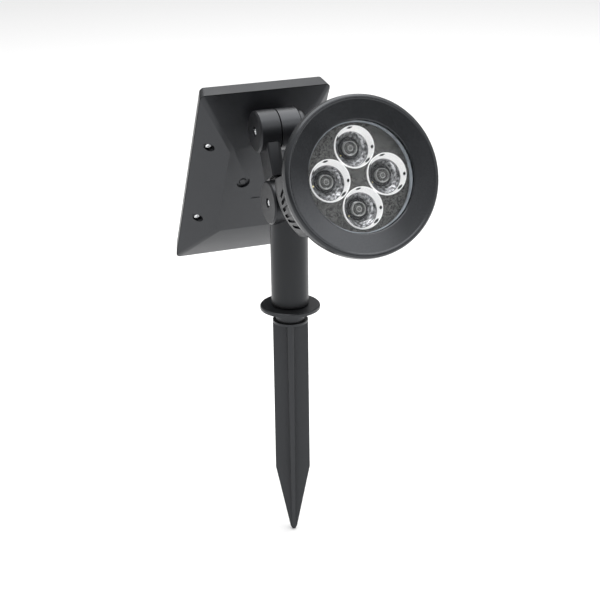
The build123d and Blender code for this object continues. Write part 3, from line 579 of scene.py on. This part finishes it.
# small dark clips set round each pale throat
bm = bmesh.new()
for cx, cy in LEDS:
    for deg, half in ((96, 8.5), (150, 10.0), (-6, 5.0), (-50, 9.5)):
        steps = 6
        lo_r, hi_r = 11.35, 12.15
        rows = []
        for k in range(steps + 1):
            a = math.radians(deg - half + 2 * half * k / steps)
            bulge = math.sin(math.pi * k / steps)
            w = 0.15 + 0.85 * bulge
            rows.append([bm.verts.new(head_pt(cx + 0.55 + r * math.cos(a), cy + 0.3 + r * math.sin(a), t + DEEP)) for r, t in
                         ((11.9 - 0.6 * w, 8.3), (11.9 + 0.6 * w, 7.2), (11.9 + 0.6 * w, 7.6), (11.9 - 0.6 * w, 8.8))])
        for a, b in zip(rows, rows[1:]):
            for i in range(4):
                j = (i + 1) % 4
                bm.faces.new((a[i], a[j], b[j], b[i]))
        bm.faces.new(rows[0])
        bm.faces.new(list(reversed(rows[-1])))
clips = finish_mesh("optic_clips", bm, black, "lamp_head", angle=40)

# ------------------------------------------------------------ solar panel
bm = bmesh.new()
COLS, ROWS = 2, 6
CW, CH = 37.6, 22.4
for i in range(COLS):
    for j in range(ROWS):
        x0 = (i - (COLS - 1) / 2) * (CW + 0.9)
        u0 = (j - (ROWS - 1) / 2) * (CH + 0.55)
        ch = 1.2
        outline = [(-CW / 2 + ch, -CH / 2), (CW / 2 - ch, -CH / 2), (CW / 2, -CH / 2 + ch), (CW / 2, CH / 2 - ch),
                   (CW / 2 - ch, CH / 2), (-CW / 2 + ch, CH / 2), (-CW / 2, CH / 2 - ch), (-CW / 2, -CH / 2 + ch)]
        top = [bm.verts.new(panel_pt(x0 + a, u0 + b, -6.385)) for a, b in outline]
        low = [bm.verts.new(panel_pt(x0 + a * 1.002, u0 + b * 1.002, -6.3)) for a, b in outline]
        bm.faces.new(top)
        bm.faces.new(list(reversed(low)))
        for k in range(8):
            bm.faces.new((top[k], top[(k + 1) % 8], low[(k + 1) % 8], low[k]))
tiles = finish_mesh("cell_tiles", bm, silicon, "solar_panel", angle=30)

bm = bmesh.new()
for i in range(COLS):
    for off in (-9.4, 9.4):
        x0 = (i - (COLS - 1) / 2) * (CW + 0.9) + off
        rows = []
        for k in range(25):
            u = -68.4 + 136.8 * k / 24
            lift = 0.02 + 0.012 * math.cos(k * math.pi)
            rows.append([bm.verts.new(panel_pt(x0 + a, u, -6.3865 - b * 0.3)) for a, b in
                         ((-0.7, 0.0), (-0.5, lift), (0.5, lift), (0.7, 0.0))])
        for a, b in zip(rows, rows[1:]):
            for m_ in range(3):
                bm.faces.new((a[m_], a[m_ + 1], b[m_ + 1], b[m_]))
bars = finish_mesh("cell_busbars", bm, busbar, "solar_panel", angle=60)

# ------------------------------------------------------- cross-head screws
def screw(bm, place, head_r, head_h, shank_r, shank_l, arm, half_w):
    """Pan head with a cross recess, its top at t = 0, then the shank."""
    n, rings = 96, 22
    grid = []
    for k in range(rings + 1):
        r = head_r * (k / rings) ** 0.9
        row = []
        for i in range(n if k else 1):
            a = 2 * math.pi * i / n
            x, u = r * math.cos(a), r * math.sin(a)
            q = min(1.0, r / head_r)
            t = head_h * 0.62 * (1 - math.sqrt(max(0.0, 1 - q ** 2.6)))
            edge = 1.0
            for p, w in ((x, u), (u, x)):
                inside = max(abs(p) / arm, abs(w) / half_w)
                edge = min(edge, max(0.0, min(1.0, (inside - 0.72) / 0.28)))
            t += (1 - edge) * head_h * 0.5 * (1 - 0.4 * q)
            row.append(bm.verts.new(place(x, u, t)))
        grid.append(row)
    for a, b in zip(grid, grid[1:]):
        for i in range(n):
            j = (i + 1) % n
            if len(a) == 1:
                bm.faces.new((a[0], b[i], b[j]))
            else:
                bm.faces.new((a[i], b[i], b[j], a[j]))
    prev = grid[-1]
    for r, t in ((head_r, head_h), (shank_r, head_h), (shank_r, head_h + shank_l)):
        row = [bm.verts.new(place(r * math.cos(2 * math.pi * i / n), r * math.sin(2 * math.pi * i / n), t)) for i in range(n)]
        for i in range(n):
            j = (i + 1) % n
            bm.faces.new((prev[i], row[i], row[j], prev[j]))
        prev = row
    bm.faces.new(prev)


for node, body, (y, z) in (("lower_hinge_bolt", "post", (0.0, 73.0)), ("upper_hinge_bolt", "post", (22.0, 114.0))):
    bm = bmesh.new()
    screw(bm, lambda x, u, t, y=y, z=z: Vector((-13.6 + t, y + x, z + u)) * MM, 2.6, 1.95, 2.0, 24.4, 1.65, 0.5)
    finish_mesh("crosshead_" + node, bm, steel, body, angle=45, nodes=(node,))

bm = bmesh.new()
for sx in (-35.5, 35.5):
    for su in (35.5, -31.0):
        screw(bm, lambda x, u, t, sx=sx, su=su: panel_pt(sx + x, su + u, 4.85 - t), 2.15, 1.7, 1.4, 6.1, 1.4, 0.42)
finish_mesh("crosshead_panel_screws", bm, steel, "solar_panel", angle=45, nodes=("panel_screws",))

# ---------------------------------------------- eased copies of the mouldings
soft_copy("panel_back_cover", cover_mat, "solar_panel", 0.35)
soft_copy("panel_front_frame", frame_mat, "solar_panel", 0.45)
soft_copy("link_arm", charcoal, "post", 0.9, seg=4)
soft_copy("lower_knuckle", charcoal, "post", 0.3)
soft_copy("post_tube", post_mat, "post", 0.3)
soft_copy("ground_spike", graphite, "stake", 0.35)
soft_copy("head_body", charcoal, "lamp_head", 0.25)
soft_copy("hinge_cap", charcoal, "solar_panel", 0.25)


# ---------------------------------------------------------- floor and light
def make_stage():
    me = bpy.data.meshes.new("floor")
    s = 6.0
    z = CAD_LO.z - 0.0005
    me.from_pydata([(-s, -s, z), (s, -s, z), (s, s, z), (-s, s, z)], [], [(0, 1, 2, 3)])
    fl = bpy.data.objects.new("floor", me)
    bpy.context.scene.collection.objects.link(fl)
    m, nt, b = new_mat("floor_pale")
    b.inputs["Base Color"].default_value = (0.88, 0.88, 0.88, 1)
    b.inputs["Roughness"].default_value = 0.8
    me.materials.append(m)
    w = bpy.data.worlds.new("studio")
    bpy.context.scene.world = w
    w.use_nodes = True
    nt = w.node_tree
    nt.nodes.clear()
    out = nt.nodes.new("ShaderNodeOutputWorld")
    bg = nt.nodes.new("ShaderNodeBackground")
    tc = nt.nodes.new("ShaderNodeTexCoord")
    sp = nt.nodes.new("ShaderNodeSeparateXYZ")
    nt.links.new(tc.outputs["Generated"], sp.inputs[0])
    cr = nt.nodes.new("ShaderNodeValToRGB")
    mr = nt.nodes.new("ShaderNodeMapRange")
    mr.inputs["From Min"].default_value = -1
    mr.inputs["From Max"].default_value = 1
    nt.links.new(sp.outputs["Z"], mr.inputs["Value"])
    nt.links.new(mr.outputs["Result"], cr.inputs["Fac"])
    e = cr.color_ramp.elements
    e[0].position, e[0].color = 0.50, (0.14, 0.14, 0.14, 1)
    e[1].position, e[1].color = 0.82, (0.85, 0.85, 0.85, 1)
    nt.links.new(cr.outputs["Color"], bg.inputs["Color"])
    bg.inputs["Strength"].default_value = 1.0
    nt.links.new(bg.outputs[0], out.inputs[0])

    def area(name, loc, target, size, power):
        d = bpy.data.lights.new(name, "AREA")
        d.shape = "RECTANGLE"
        d.size, d.size_y = size
        d.energy = power
        o = bpy.data.objects.new(name, d)
        bpy.context.scene.collection.objects.link(o)
        o.location = loc
        o.rotation_euler = (Vector(target) - Vector(loc)).to_track_quat("-Z", "Y").to_euler()
        return o

    area("top", (0.2, 0.1, 1.6), (0, 0, 0.0), (2.0, 2.0), 42)
    area("front_right", (0.80, -1.00, 0.95), (0, 0, 0.05), (0.75, 0.75), 4.6)


make_stage()
bpy.context.scene.view_settings.view_transform = "Standard"
